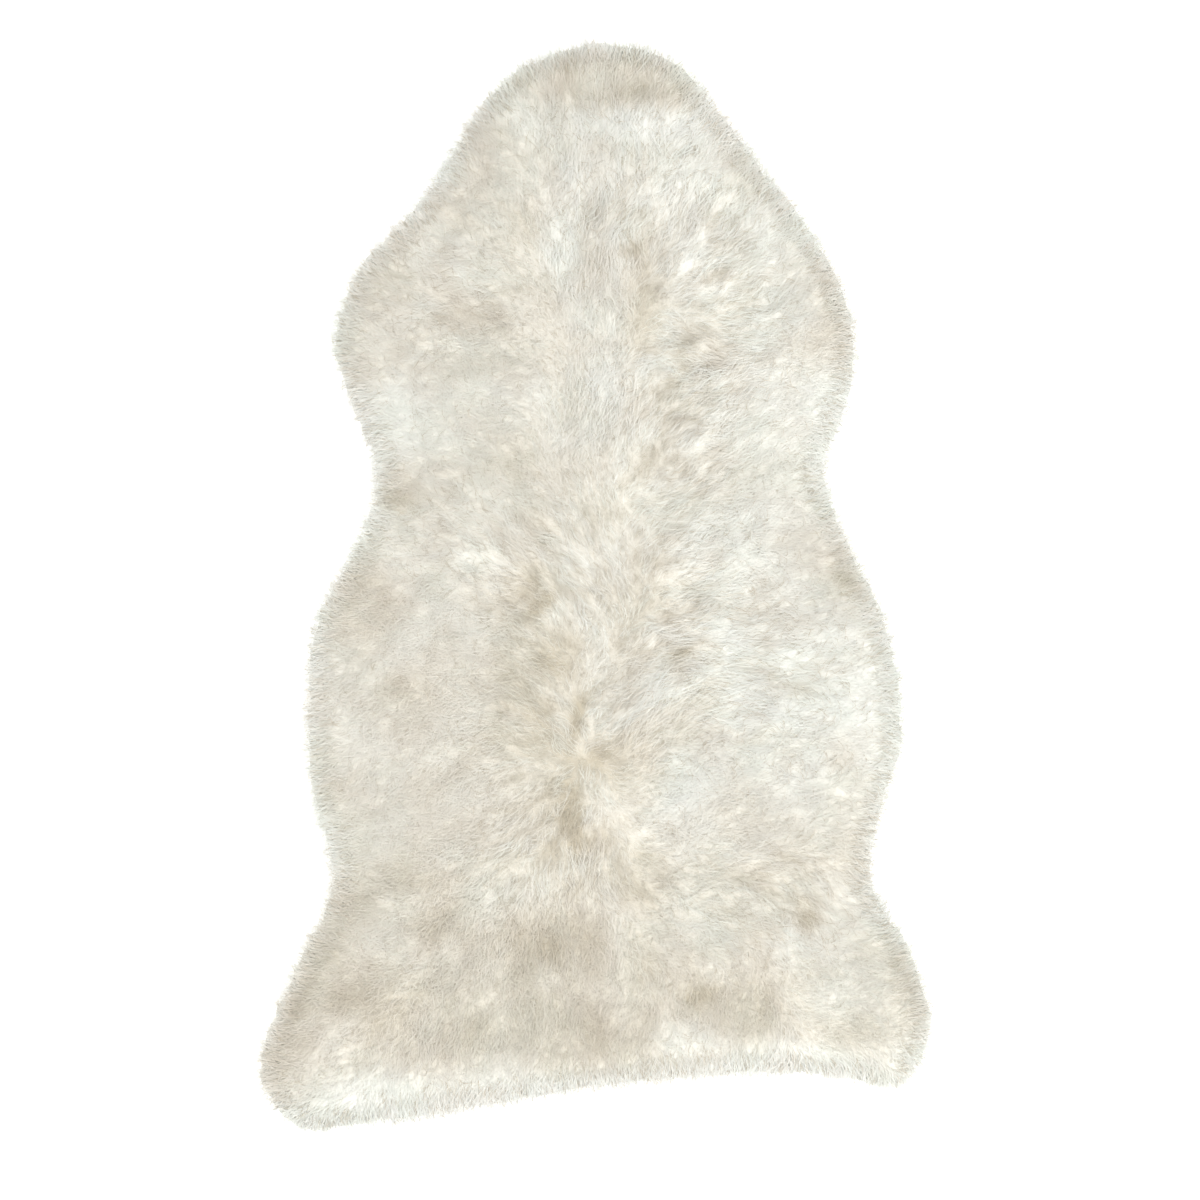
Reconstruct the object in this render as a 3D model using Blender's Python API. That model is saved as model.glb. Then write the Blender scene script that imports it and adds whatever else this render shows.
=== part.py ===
"""Sheepskin rug, lying flat with its wool up.

One tanned pelt with its wool on, in metres, +Z up. The head end points to +Y and the tail to -Y.
The origin is on the floor, under the middle of the rug's box.

The solid is a slab of wool. Its top swells from the rim to the full pile, parts along the spine
and carries combed lumps and hand-placed hollows. Short locks stand out all round the rim and rest
level on the floor. Underneath, the tanned skin is a flat island that stands proud of the wool.
"""

import math

import bmesh
import bpy
from mathutils import Vector, geometry, noise
from mathutils.kdtree import KDTree

MM = 0.001

# Driving dimensions
PILE_HEIGHT = 44 * MM  # wool standing over the floor, away from rim and parting
SWELL_REACH = 115 * MM  # distance from the rim at which the pile is at full height
SWELL_POWER = 2.0  # how bluff the rounded shoulder of the rug is
HIDE_INSET = 32 * MM  # the skin's edge, measured in from the wool tips
HIDE_PROUD = 1.8 * MM  # the skin's thickness, by which it stands below the wool round it
FLOOR_BAND = 6 * MM  # wool round the rim that rests on the floor beside the skin

# Rim locks
LOCKS = 210  # round the whole rim, an even number because they lean together in pairs
LOCK_REACH = 19 * MM  # a lock's length beyond the slab
LOCK_UNEVEN = 5 * MM  # how much that varies from lock to lock
LOCK_LEAN = 1.8 * MM  # how far a lock's tip leans towards its partner
# share of the reach, share of its room that it fills, height: one row for each section of a lock
LOCK_ROWS = (
    (0.5, 0.88, 15 * MM),
    (1.0, 0.46, 4 * MM),
)
ROOT_HEIGHT = 20 * MM
CLUMP_RELIEF = 1.5 * MM  # rise of a pair of locks over the furrows beside it, up on the shoulder

# Surface
PITCH = 16.5 * MM  # spacing of the points on top
SHOULDER_STEP = 8 * MM  # from the lock roots in to the row of points that borders the open field
LUMP_HEIGHT = 8.5 * MM
LUMP_LENGTH = 95 * MM  # along the lie of the wool
LUMP_WIDTH = 36 * MM  # across it
FINE_POINTS = 1400  # along the outline
SEED_OFFSET = Vector((3.7, 1.9, 8.3))

# The outline through the wool tips, from head to tail, in mm.
# name, left x, left y, right x, right y
SECTIONS = (
    ("brow", -66, 461, 71, 467),
    ("temple", -109, 417, 106, 428),
    ("neck", -150, 350, 154, 366),
    ("shoulder_top", -214, 275, 210, 285),
    ("shoulder", -234, 210, 233, 214),
    ("armpit", -214, 155, 220, 144),
    ("waist", -195, 95, 204, 106),
    ("ribs", -216, 33, 230, 31),
    ("flank", -248, -26, 259, -30),
    ("hip", -257, -116, 273, -129),
    ("thigh", -252, -180, 255, -200),
    ("stifle", -235, -261, 246, -253),
    ("hock", -273, -345, 280, -319),
    ("corner", -298, -433, 299, -385),
    ("heel", -260, -480, 272, -443),
)
CROWN = (9, 481)
# name, x, y: the tail edge from right to left, in mm
TAIL = (
    ("right_dip", 214, -435),
    ("right_rise", 136, -431),
    ("middle", 4, -443),
    ("left", -124, -464),
    ("far_left", -203, -476),
)

# The parting down the spine, where the wool stands up and falls to both sides, in mm.
# name, x, y, how far the wool opens to each side
PARTING = (
    ("nape", 40, 316, 30),
    ("withers", 62, 215, 44),
    ("mid_back", 46, 90, 40),
    ("loin", -14, -10, 46),
    ("croup", -22, -125, 42),
    ("tail_root", -26, -225, 34),
)
PARTING_DEPTH = 6.5 * MM
PARTING_CREST = 3.5 * MM  # the tufts that stand up beside it

# Hollows (negative) and swells (positive) pressed into the wool, in mm.
# name, x, y, half length, half width, turn in degrees from +X, rise
FORMS = (
    ("crown_fold", 8, 428, 95, 16, 0, -6.5),
    ("left_neck_dip", -118, 335, 60, 30, 55, -5.0),
    ("right_neck_dip", 128, 365, 50, 26, -55, -5.0),
    ("left_waist_crease", -168, 86, 42, 20, -8, -9.0),
    ("right_waist_dip", 198, 60, 26, 48, 0, -5.0),
    ("right_flank_crease", 205, -14, 48, 17, -25, -7.0),
    ("left_belly_swell", -225, -70, 34, 55, 0, 4.5),
    ("right_belly_swell", 215, -110, 45, 70, 0, 5.0),
    ("right_shoulder_swell", 172, 170, 50, 40, 0, 4.0),
    ("left_shoulder_swell", -165, 215, 55, 45, 0, 3.5),
    ("left_loin_pit", -58, -8, 30, 12, 60, -8.0),
    ("spine_pit", 2, -55, 26, 12, 75, -6.5),
    ("croup_tuft", -32, -206, 16, 20, 0, 6.0),
    ("right_loin_tuft", 90, -60, 22, 22, 0, 5.0),
    ("right_stifle_pit", 180, -278, 14, 20, 20, -7.0),
    ("left_haunch_dip", -222, -325, 34, 48, -30, -6.0),
    ("right_haunch_dip", 258, -332, 22, 44, 12, -5.0),
    ("tail_left_dip", -140, -370, 60, 40, 0, -5.0),
    ("tail_middle_dip", 0, -350, 70, 42, 0, -6.0),
    ("tail_right_dip", 125, -385, 50, 30, 0, -4.5),
    ("left_corner_swell", -235, -420, 40, 36, 20, 4.0),
    ("right_corner_swell", 235, -400, 45, 30, 0, 3.5),
)


def clear_scene():
    for item in list(bpy.data.objects):
        bpy.data.objects.remove(item, do_unlink=True)


def wool_material():
    material = bpy.data.materials.new("ivory_wool")
    material.use_nodes = True
    shader = material.node_tree.nodes["Principled BSDF"]
    shader.inputs["Base Color"].default_value = (0.80, 0.76, 0.67, 1.0)
    shader.inputs["Roughness"].default_value = 0.9
    shader.inputs["Metallic"].default_value = 0.0
    return material


def landmarks():
    """The outline's named points, clockwise from the crown, in metres."""
    right = [(row[3], row[4]) for row in SECTIONS]
    tail = [(row[1], row[2]) for row in TAIL]
    left = [(row[1], row[2]) for row in reversed(SECTIONS)]
    return [Vector(point) * MM for point in [CROWN, *right, *tail, *left]]


def rounded(points, steps=16):
    """A closed centripetal Catmull-Rom curve through the points."""
    count = len(points)
    curve = []
    for i in range(count):
        a, b, c, d = (points[(i + k) % count] for k in (-1, 0, 1, 2))
        ab, bc, cd = ((q - p).length ** 0.5 for p, q in ((a, b), (b, c), (c, d)))
        start = ((b - a) / ab - (c - a) / (ab + bc) + (c - b) / bc) * bc
        end = ((c - b) / bc - (d - b) / (bc + cd) + (d - c) / cd) * bc
        for k in range(steps):
            t = k / steps
            curve.append(
                (2 * t**3 - 3 * t**2 + 1) * b
                + (t**3 - 2 * t**2 + t) * start
                + (-2 * t**3 + 3 * t**2) * c
                + (t**3 - t**2) * end
            )
    return curve


def evenly(curve, count):
    """count points at equal distances round a closed curve."""
    closed = curve + curve[:1]
    along = [0.0]
    for p, q in zip(closed, closed[1:]):
        along.append(along[-1] + (q - p).length)
    spaced = []
    k = 0
    for i in range(count):
        target = along[-1] * i / count
        while along[k + 1] < target:
            k += 1
        share = (target - along[k]) / (along[k + 1] - along[k])
        spaced.append(closed[k].lerp(closed[k + 1], share))
    return spaced


def outward(ring, i, span):
    """Unit direction that leaves a clockwise ring at its point i, taken over span neighbours."""
    count = len(ring)
    tangent = ring[(i + span) % count] - ring[(i - span) % count]
    return Vector((-tangent.y, tangent.x)).normalized()


def inset(ring, distance, span=2):
    """The ring moved inwards, point by point."""
    return [point - outward(ring, i, span) * distance for i, point in enumerate(ring)]


class Outline:
    """The line through the wool tips, and distances from it."""

    def __init__(self):
        self.fine = evenly(rounded(landmarks()), FINE_POINTS)
        self.tree = KDTree(len(self.fine))
        for i, point in enumerate(self.fine):
            self.tree.insert(point.to_3d(), i)
        self.tree.balance()

    def nearest(self, point):
        """Distance in from the outline, and the direction towards it."""
        spot, _, distance = self.tree.find(point.to_3d())
        away = (spot.to_2d() - point).normalized() if distance > 1e-6 else Vector((0, 1))
        return distance, away


def parting_offset(point):
    """How far a point is from the parting, and how far the wool opens there."""
    rows = [(Vector((x, y)) * MM, opening * MM) for _, x, y, opening in PARTING]
    best = None
    for (a, wide_a), (b, wide_b) in zip(rows, rows[1:]):
        spot, share = geometry.intersect_point_line(point, a, b)
        share = min(max(share, 0.0), 1.0)
        spot = a.lerp(b, share)
        distance = (point - spot.to_2d()).length
        if best is None or distance < best[0]:
            best = (distance, wide_a + (wide_b - wide_a) * share)
    return best


def bell(x):
    return math.exp(-x * x)


def parting_rise(point):
    """A broken furrow along the spine, with a crest of upright tufts to each side."""
    distance, opening = parting_offset(point)
    x = distance / opening
    broken = 0.65 + 0.7 * noise.noise(Vector((point.x * 16, point.y * 22, 5.0)))
    return PARTING_CREST * bell(x - 1.0) - PARTING_DEPTH * broken * bell(x * 1.9)


def form_rise(point):
    total = 0.0
    for _, x, y, half_length, half_width, turn, rise in FORMS:
        step = point - Vector((x, y)) * MM
        angle = math.radians(turn)
        along = step.x * math.cos(angle) + step.y * math.sin(angle)
        across = step.y * math.cos(angle) - step.x * math.sin(angle)
        reach = math.hypot(along / (half_length * MM), across / (half_width * MM))
        total += rise * MM * bell(reach)
    return total


def lump_rise(point, away):
    """Lumps drawn out along the lie of the wool, which runs towards the nearest rim."""
    side = Vector((-away.y, away.x))
    along = point.dot(away) / LUMP_LENGTH
    across = point.dot(side) / LUMP_WIDTH
    combed = noise.noise(Vector((along, across, 0.0)) + SEED_OFFSET)
    loose = noise.noise(point.to_3d() / (LUMP_WIDTH * 1.15) - SEED_OFFSET)
    return LUMP_HEIGHT * (0.75 * combed + 0.95 * loose)


def swell(distance):
    """The slab's height against the distance in from the wool tips."""
    share = min(distance / SWELL_REACH, 1.0)
    return PILE_HEIGHT * (1 - (1 - share) ** SWELL_POWER) ** (1 / SWELL_POWER)


def wool_height(outline, point):
    distance, away = outline.nearest(point)
    relief = lump_rise(point, away) + form_rise(point) + parting_rise(point)
    share = min(max((distance - LOCK_REACH) / (45 * MM), 0.0), 1.0)
    return swell(distance) + relief * share * share * (3 - 2 * share)


def inside(point, ring):
    """Even-odd test of a point against a ring."""
    hit = False
    for p, q in zip(ring, ring[1:] + ring[:1]):
        if (p.y > point.y) != (q.y > point.y):
            if point.x < p.x + (q.x - p.x) * (point.y - p.y) / (q.y - p.y):
                hit = not hit
    return hit


def field_points(outline, least):
    """A staggered field of points that keep a distance to the outline."""
    xs = [p.x for p in outline.fine]
    ys = [p.y for p in outline.fine]
    row_step = PITCH * math.sqrt(3) / 2
    points = []
    row = 0
    y = min(ys)
    while y < max(ys):
        x = min(xs) + (row % 2) * PITCH / 2
        while x < max(xs):
            drift = [noise.noise(Vector((x * 40, y * 40, level))) for level in (1.5, 6.5)]
            point = Vector((x, y)) + Vector(drift) * PITCH * 0.22
            if inside(point, outline.fine) and outline.nearest(point)[0] > least:
                points.append(point)
            x += PITCH
        y += row_step
        row += 1
    return points


def add_ring(mesh, ring, height):
    """A ring of vertices at one height, or at the height that a function gives."""
    level = height if callable(height) else lambda point: height
    return [mesh.verts.new((p.x, p.y, level(p))) for p in ring]


def bridge(mesh, upper, lower):
    """Quads between two rings of equal count."""
    count = len(upper)
    for i in range(count):
        j = (i + 1) % count
        mesh.faces.new((upper[i], upper[j], lower[j], lower[i]))


def fill_top(mesh, outline, rim):
    """Even triangles over the open field, inside the shoulder row."""
    edge = [Vector((v.co.x, v.co.y)) for v in rim]
    least = LOCK_REACH + SHOULDER_STEP + 0.62 * PITCH
    points = edge + field_points(outline, least)
    border = [(i, (i + 1) % len(edge)) for i in range(len(edge))]
    field = geometry.delaunay_2d_cdt(points, border, [], 1, 1e-7)
    spots, _, faces, origins = field[:4]
    made = []
    for spot, origin in zip(spots, origins):
        source = min(origin) if origin else len(edge)
        if source < len(edge):
            made.append(rim[source])
        else:
            point = Vector((spot.x, spot.y))
            made.append(mesh.verts.new((point.x, point.y, wool_height(outline, point))))
    for corners in faces:
        mesh.faces.new([made[k] for k in corners])


def lock_reach(i):
    """A lock's length, in a rhythm of long and short ones that drifts round the rim."""
    rhythm = (0.9, -0.6, 0.35, -1.0, 0.6, -0.25)[i % 6]
    drift = noise.noise(Vector((i * 0.37, 2.0, 0.0)))
    return LOCK_REACH + LOCK_UNEVEN * (0.55 * rhythm + 0.8 * drift)


def add_lock(mesh, root, sides, lean, reach):
    """One tapered four-sided lock grown from a root quad, bent down and resting on the floor.

    Its room widens or narrows with reach, as the two unit vectors along its sides part or close.
    """
    low_a, low_b = root[:2]
    middle = (low_a.co + low_b.co) / 2
    across = low_b.co - low_a.co
    side = across.normalized()
    out = (sides[0] + sides[1]).to_3d().normalized()
    opening = (sides[1] - sides[0]).to_3d().dot(side)
    rows = [root]
    for share, filled, height in LOCK_ROWS:
        centre = middle + out * reach * share + side * lean * share * share
        half = side * filled * (across.length + opening * reach * share) / 2
        up = Vector((0, 0, height))
        ends = (centre - half, centre + half, centre + half + up, centre - half + up)
        rows.append([mesh.verts.new(end) for end in ends])
    for near, far in zip(rows, rows[1:]):
        for k in range(4):
            n = (k + 1) % 4
            mesh.faces.new((near[k], near[n], far[n], far[k]))
    mesh.faces.new(rows[-1])


def add_locks(mesh, upper, lower, ring):
    """A lock on every quad of the rim wall."""
    count = len(ring)
    for i in range(count):
        j = (i + 1) % count
        sides = (outward(ring, i, 2), outward(ring, j, 2))
        drift = 0.8 + 0.5 * noise.noise(Vector((i * 0.31, 7.0, 0.0)))
        lean = LOCK_LEAN * drift * (1 if i % 2 == 0 else -1)
        root = (lower[i], lower[j], upper[j], upper[i])
        add_lock(mesh, root, sides, lean, lock_reach(i))


def add_underside(mesh, rim, root):
    """The wool's floor band, the recess behind it, and the flat skin standing proud inside it."""
    hide_step = HIDE_INSET - LOCK_REACH
    band = add_ring(mesh, inset(root, FLOOR_BAND), 0.0)
    recess = add_ring(mesh, inset(root, hide_step), HIDE_PROUD)
    skin = add_ring(mesh, inset(root, hide_step + HIDE_PROUD / 3), 0.0)
    for outer, inner in ((rim, band), (band, recess), (recess, skin)):
        bridge(mesh, outer, inner)
    mesh.faces.new(skin)


def centre_on_floor(mesh):
    """The middle of the rug's box comes over the origin."""
    for axis in (0, 1):
        reach = [vertex.co[axis] for vertex in mesh.verts]
        middle = (min(reach) + max(reach)) / 2
        for vertex in mesh.verts:
            vertex.co[axis] -= middle


def build_sheepskin():
    outline = Outline()
    mesh = bmesh.new()
    root = evenly(inset(outline.fine, LOCK_REACH, span=12), LOCKS)
    lower = add_ring(mesh, root, 0.0)
    upper = add_ring(mesh, root, ROOT_HEIGHT)
    shoulder = add_ring(mesh, inset(root, SHOULDER_STEP), lambda p: wool_height(outline, p))
    for i, vertex in enumerate(shoulder):
        vertex.co.z += CLUMP_RELIEF * (1 if i % 2 else -1)
    bridge(mesh, shoulder, upper)
    fill_top(mesh, outline, shoulder)
    add_locks(mesh, upper, lower, root)
    add_underside(mesh, lower, root)
    centre_on_floor(mesh)
    bmesh.ops.recalc_face_normals(mesh, faces=mesh.faces)
    return mesh


def add_piece(name, mesh, material):
    data = bpy.data.meshes.new(name)
    mesh.to_mesh(data)
    mesh.free()
    data.materials.append(material)
    data.shade_smooth()
    data.set_sharp_from_angle(angle=math.radians(50))
    piece = bpy.data.objects.new(name, data)
    bpy.context.scene.collection.objects.link(piece)
    return piece


def main():
    clear_scene()
    add_piece("sheepskin", build_sheepskin(), wool_material())


main()
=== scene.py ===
"""Sheepskin rug on a pale floor, seen from straight above.

The wool is a dense undercoat that follows the solid's top, and many combed strands over it. Their
roots sit in the undercoat, they lie as the LIE table says, and they gather into locks. The tanned
skin is a thin suede sheet underneath. Sizes are in metres unless a name or table says mm.
"""

import math

import bmesh
import bpy
import numpy as np
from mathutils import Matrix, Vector, geometry
from mathutils.bvhtree import BVHTree
from mathutils.kdtree import KDTree


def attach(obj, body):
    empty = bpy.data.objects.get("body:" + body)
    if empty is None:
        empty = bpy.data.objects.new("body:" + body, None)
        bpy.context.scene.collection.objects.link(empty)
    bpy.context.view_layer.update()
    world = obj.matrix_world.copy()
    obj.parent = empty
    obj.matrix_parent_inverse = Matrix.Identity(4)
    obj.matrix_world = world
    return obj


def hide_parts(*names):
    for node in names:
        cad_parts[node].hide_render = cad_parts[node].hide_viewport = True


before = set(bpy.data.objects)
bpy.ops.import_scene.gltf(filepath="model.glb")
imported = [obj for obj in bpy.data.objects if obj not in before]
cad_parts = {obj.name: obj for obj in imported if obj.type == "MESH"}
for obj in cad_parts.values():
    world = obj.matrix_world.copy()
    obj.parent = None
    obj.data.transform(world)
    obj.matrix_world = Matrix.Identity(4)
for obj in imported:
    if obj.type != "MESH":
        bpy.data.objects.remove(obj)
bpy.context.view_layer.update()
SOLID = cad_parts["sheepskin"]

MM = 0.001

# The outline through the wool tips, in mm: name, left x, left y, right x, right y
SECTIONS = (
    ("brow", -66, 461, 71, 467),
    ("temple", -109, 417, 106, 428),
    ("neck", -150, 350, 154, 366),
    ("shoulder_top", -214, 275, 210, 285),
    ("shoulder", -234, 210, 233, 214),
    ("armpit", -214, 155, 220, 144),
    ("waist", -195, 95, 204, 106),
    ("ribs", -216, 33, 230, 31),
    ("flank", -248, -26, 259, -30),
    ("hip", -257, -116, 273, -129),
    ("thigh", -252, -180, 255, -200),
    ("stifle", -235, -261, 246, -253),
    ("hock", -273, -345, 280, -319),
    ("corner", -298, -433, 299, -385),
    ("heel", -260, -480, 272, -443),
)
CROWN = (9, 481)
TAIL = (
    ("right_dip", 214, -435),
    ("right_rise", 136, -431),
    ("middle", 4, -443),
    ("left", -124, -464),
    ("far_left", -203, -476),
)
TABLE_SHIFT = np.array([-0.8, 0.5]) * MM  # from the tables' middle to the solid's

# The parting along the spine, in mm: name, x, y, how far the wool opens to each side
PARTING = (
    ("nape", 40, 316, 30),
    ("withers", 62, 215, 44),
    ("mid_back", 46, 90, 40),
    ("loin", -14, -10, 46),
    ("croup", -22, -125, 42),
    ("tail_root", -26, -225, 34),
)

# How the wool lies: place, x, y in mm, direction of the tips in degrees from +X
LIE = (
    ("crown", 9, 465, 90),
    ("crown_left", -62, 430, 112),
    ("crown_right", 83, 430, 62),
    ("temple_left", -93, 377, 126),
    ("temple_right", 114, 377, 50),
    ("forehead", 4, 377, 88),
    ("neck_left", -120, 328, 138),
    ("neck_right", 92, 333, 58),
    ("nape", 4, 315, 88),
    ("collar_left", -190, 297, 142),
    ("collar_right", 180, 297, 44),
    ("shoulder_left_in", -102, 262, 160),
    ("shoulder_left", -190, 236, 152),
    ("shoulder_right_in", 100, 275, 40),
    ("shoulder_right", 180, 236, 25),
    ("withers_left", 8, 253, 86),
    ("withers_right", 80, 222, -32),
    ("mid_back", 14, 148, 80),
    ("ribs_left_in", -93, 183, 170),
    ("armpit_left", -181, 157, 176),
    ("ribs_right_in", 96, 165, 26),
    ("armpit_right", 180, 157, 3),
    ("waist_left", -155, 77, 173),
    ("waist_left_in", -67, 51, 150),
    ("waist_right_in", 83, 60, 14),
    ("waist_right", 171, 77, 8),
    ("loin", 0, 20, 100),
    ("flank_left", -172, -19, 181),
    ("flank_left_in", -93, -28, 167),
    ("flank_right_in", 92, -28, 6),
    ("flank_right", 197, -28, 9),
    ("hip_left", -208, -116, 202),
    ("hip_left_in", -111, -116, 180),
    ("croup_left", -60, -100, 150),
    ("croup_right", 30, -90, 46),
    ("hip_right_in", 109, -125, 1),
    ("hip_right", 206, -134, -8),
    ("thigh_left", -146, -195, 202),
    ("thigh_left_in", -84, -204, 196),
    ("thigh_right_in", 74, -195, 10),
    ("thigh_right", 171, -204, -4),
    ("tail_root", -26, -215, 262),
    ("rump_left", -93, -266, 236),
    ("rump", -32, -290, 285),
    ("rump_right", 92, -275, -22),
    ("stifle_left", -199, -283, 186),
    ("stifle_right", 188, -275, -38),
    ("haunch_left", -225, -345, 190),
    ("haunch_right", 241, -336, -14),
    ("corner_left", -255, -424, 208),
    ("corner_right", 259, -398, -28),
    ("tail_left", -155, -415, 266),
    ("tail_middle", -23, -380, 268),
    ("tail_right", 109, -371, 284),
)

# Darker (negative) and lighter patches: place, x, y, half length, half width in mm, turn, amount
# Partly the wool's own tone, partly painted shade (dips, gaps, the crown, the rim) and painted light
# (swells).
SHADES = (
    ("crown", 14, 446, 110, 27, 0, -0.9),
    ("neck_left", -165, 300, 80, 22, 45, -0.3),
    ("neck_right", 138, 372, 42, 18, -55, -0.3),
    ("shoulder_right_rim", 212, 250, 26, 70, 10, -0.6),
    ("waist_left", -172, 88, 30, 20, -5, -0.7),
    ("armpit_left", -188, 150, 40, 28, 0, 0.6),
    ("shoulder_left", -120, 236, 95, 48, 0, -0.25),
    ("shoulder_right_low", 184, 165, 42, 32, 0, 0.7),
    ("waist_right_rim", 208, 84, 20, 40, 0, -0.3),
    ("flank_right", 214, 16, 40, 20, -30, -0.6),
    ("belly_right", 224, -112, 46, 66, 0, 0.5),
    ("flank_left", -204, -8, 34, 48, 0, -1.3),
    ("haunch_left_rim", -266, -380, 40, 100, -25, -0.9),
    ("haunch_left", -205, -345, 34, 30, 0, -0.7),
    ("haunch_right_rim", 276, -330, 20, 46, 15, -0.6),
    ("stifle_right", 180, -279, 14, 14, 0, -1.2),
    ("tail_middle", -16, -345, 100, 60, 0, -1.1),
    ("tail_low", 0, -395, 90, 34, 0, -0.6),
    ("tail_left", -156, -372, 68, 50, 0, -1.0),
    ("tail_right", 132, -362, 60, 44, 0, -1.2),
    ("corner_left", -215, -450, 70, 26, 10, 1.0),
    ("tail_edge", 170, -412, 70, 20, 0, 0.8),
    ("tail_edge_left", -80, -446, 120, 22, 6, 0.8),
    ("loin_left", -62, -14, 34, 20, 60, -0.9),
    ("spine_left", -66, -90, 90, 30, 90, -0.9),
    ("ribs_low_left", -130, -96, 60, 44, 0, -0.5),
    ("mid_left", -88, 120, 46, 40, 0, -0.3),
    ("croup", -27, -205, 50, 26, 90, -0.8),
    ("nape", 40, 262, 42, 38, 0, 0.1),
    ("loin_right", 30, -92, 44, 30, 0, 0.6),
    ("forehead", 10, 375, 100, 30, 0, 0.35),
    ("shoulder_right", 120, 300, 60, 60, 0, 0.35),
    ("hip_right", 146, -52, 46, 26, 0, 0.8),
    ("flank_right_rim", 222, 10, 22, 34, 0, -0.5),
    ("thigh_right_rim", 232, -185, 30, 50, 0, -0.2),
    ("corner_right", 262, -378, 40, 30, 0, -0.7),
    ("rump_left", -170, -258, 62, 38, 0, -0.7),
    ("thigh_left", -120, -178, 54, 50, 0, -0.4),
    ("thigh_left_rim", -246, -168, 22, 40, 0, -0.6),
    ("croup_wisp", 24, -152, 34, 34, 0, -1.1),
    ("rump_wisp", 42, -256, 26, 28, 0, -1.1),
    ("withers", 75, 130, 34, 60, 0, 0.4),
    ("loin", 20, 60, 50, 40, 0, 0.3),
    ("temple_left", -88, 378, 30, 34, 0, -0.7),
    ("cheek_left", -115, 330, 26, 22, 0, -0.7),
    ("forehead_right", 60, 396, 50, 28, 0, 0.5),
    ("withers_top", 60, 336, 26, 30, 0, 0.7),
    ("shoulder_right_top", 126, 355, 22, 26, 0, -0.7),
    ("waist_right_in", 110, 50, 40, 22, 0, 0.7),
    ("belly_mid", -60, -148, 30, 24, 0, 0.6),
    ("thigh_right", 185, -235, 60, 36, 0, -0.6),
    ("stifle_right", 250, -325, 50, 26, -30, -0.7),
    ("stifle_left", -236, -292, 50, 36, 30, -0.8),
    ("rump_mid", -50, -300, 46, 30, 0, -0.9),
    ("crown_lip", 50, 427, 80, 9, 0, -0.4),
    ("forehead_lift", 40, 402, 76, 12, 0, 0.6),
    ("croup_dip", -32, -63, 22, 22, 0, -1.2),
    ("hip_glow", 140, -104, 30, 26, 0, 1.1),
    ("thigh_mid", 76, -170, 24, 24, 0, 0.8),
    ("collar_mid", -32, 290, 18, 30, 0, 0.9),
    ("withers_dip", 38, 240, 24, 34, 0, -0.8),
    ("flank_dip", -172, -99, 26, 26, 0, -0.7),
    ("rump_low_left", -130, -298, 36, 28, 0, -0.8),
    ("collar_left", -67, 307, 24, 30, 0, -0.8),
    ("thigh_right_low", 216, -160, 22, 34, 0, -0.8),
    ("tail_right_middle", 78, -387, 30, 20, 0, 0.9),
    ("corner_right_top", 208, -387, 30, 20, 0, -0.8),
    ("thigh_left_top", -209, -188, 22, 34, 0, -0.7),
    # painted shade in small gaps where the wool parts
    ("gap_loin_left", -47, -15, 15, 6, 40, -1.6),
    ("gap_withers", 74, 200, 7, 30, -12, -0.7),
    ("gap_neck", 29, 293, 14, 6, 20, -1.0),
    ("gap_loin_right", 74, -57, 12, 5, 25, -1.4),
    ("gap_croup", -16, -115, 6, 26, -14, -1.4),
    ("gap_tail_root", -20, -208, 9, 20, 15, -1.4),
    ("gap_rump_right", 186, -290, 12, 6, 30, -1.3),
    ("gap_tail_right", 92, -353, 15, 6, 20, -1.0),
    ("gap_waist_right", 66, 42, 13, 6, 10, -0.8),
    ("gap_flank_right", 217, 6, 14, 6, -30, -0.9),
    ("gap_waist_left", -176, 77, 16, 9, 0, -0.9),
    ("gap_corner_left", -258, -358, 6, 30, -25, -0.9),
)

# Where the locks stand apart in tufts: place, x, y, half length, half width in mm, turn, amount
TUFTS = (
    ("nape", 62, 300, 80, 60, 0, 0.7),
    ("withers", 92, 200, 90, 55, 75, 0.9),
    ("mid_back", 50, 90, 70, 50, 0, 0.7),
    ("loin", 10, -5, 90, 60, 0, 0.9),
    ("flank_right", 110, -70, 90, 70, 0, 0.7),
    ("croup", -20, -130, 60, 60, 0, 1.0),
    ("tail_root", -30, -220, 60, 45, 0, 1.0),
    ("shoulder_left", -120, 250, 80, 50, 10, 0.35),
    ("waist_left", -90, 40, 70, 50, 0, 0.4),
    ("rump_right", 150, -270, 80, 50, 0, 0.5),
    ("crown", 10, 400, 110, 50, 0, 0.25),
)


# ---------------------------------------------------------------- outline and fields

RIM_CORNERS = 1600
NOISE_CELLS = 256
CELL = 3 * MM  # of the grid that keeps the fields
MARGIN = 36 * MM  # of that grid round the outline
ABOVE = 0.2  # a height over all of the solid
LIE_REACH = 26 * MM  # how far a row of LIE is felt strongly
LIE_FAINT = 0.02  # its share far away, so that no spot is left without a direction
LIE_FAR = 30 * MM
RIM_COMB = 0.85  # how far the wool turns straight outwards at the rim
RIM_COMB_WIDTH = 30 * MM
COMB_STEPS = 8
COMB_GAIN = 1.3  # brings the combed noise back to about -1 to 1


def unit(v):
    return v / np.maximum(np.linalg.norm(v, axis=-1, keepdims=True), 1e-9)


def turned(v, angle):
    c, s = np.cos(angle), np.sin(angle)
    return np.stack([v[..., 0] * c - v[..., 1] * s, v[..., 0] * s + v[..., 1] * c], -1)


def smoothstep(x):
    x = np.clip(x, 0, 1)
    return x * x * (3 - 2 * x)


def landmarks():
    """The tables' points in order round the outline, starting at the crown."""
    right = [(row[3], row[4]) for row in SECTIONS]
    tail = [(row[1], row[2]) for row in TAIL]
    left = [(row[1], row[2]) for row in reversed(SECTIONS)]
    return np.array([CROWN, *right, *tail, *left], float) * MM + TABLE_SHIFT


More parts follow.
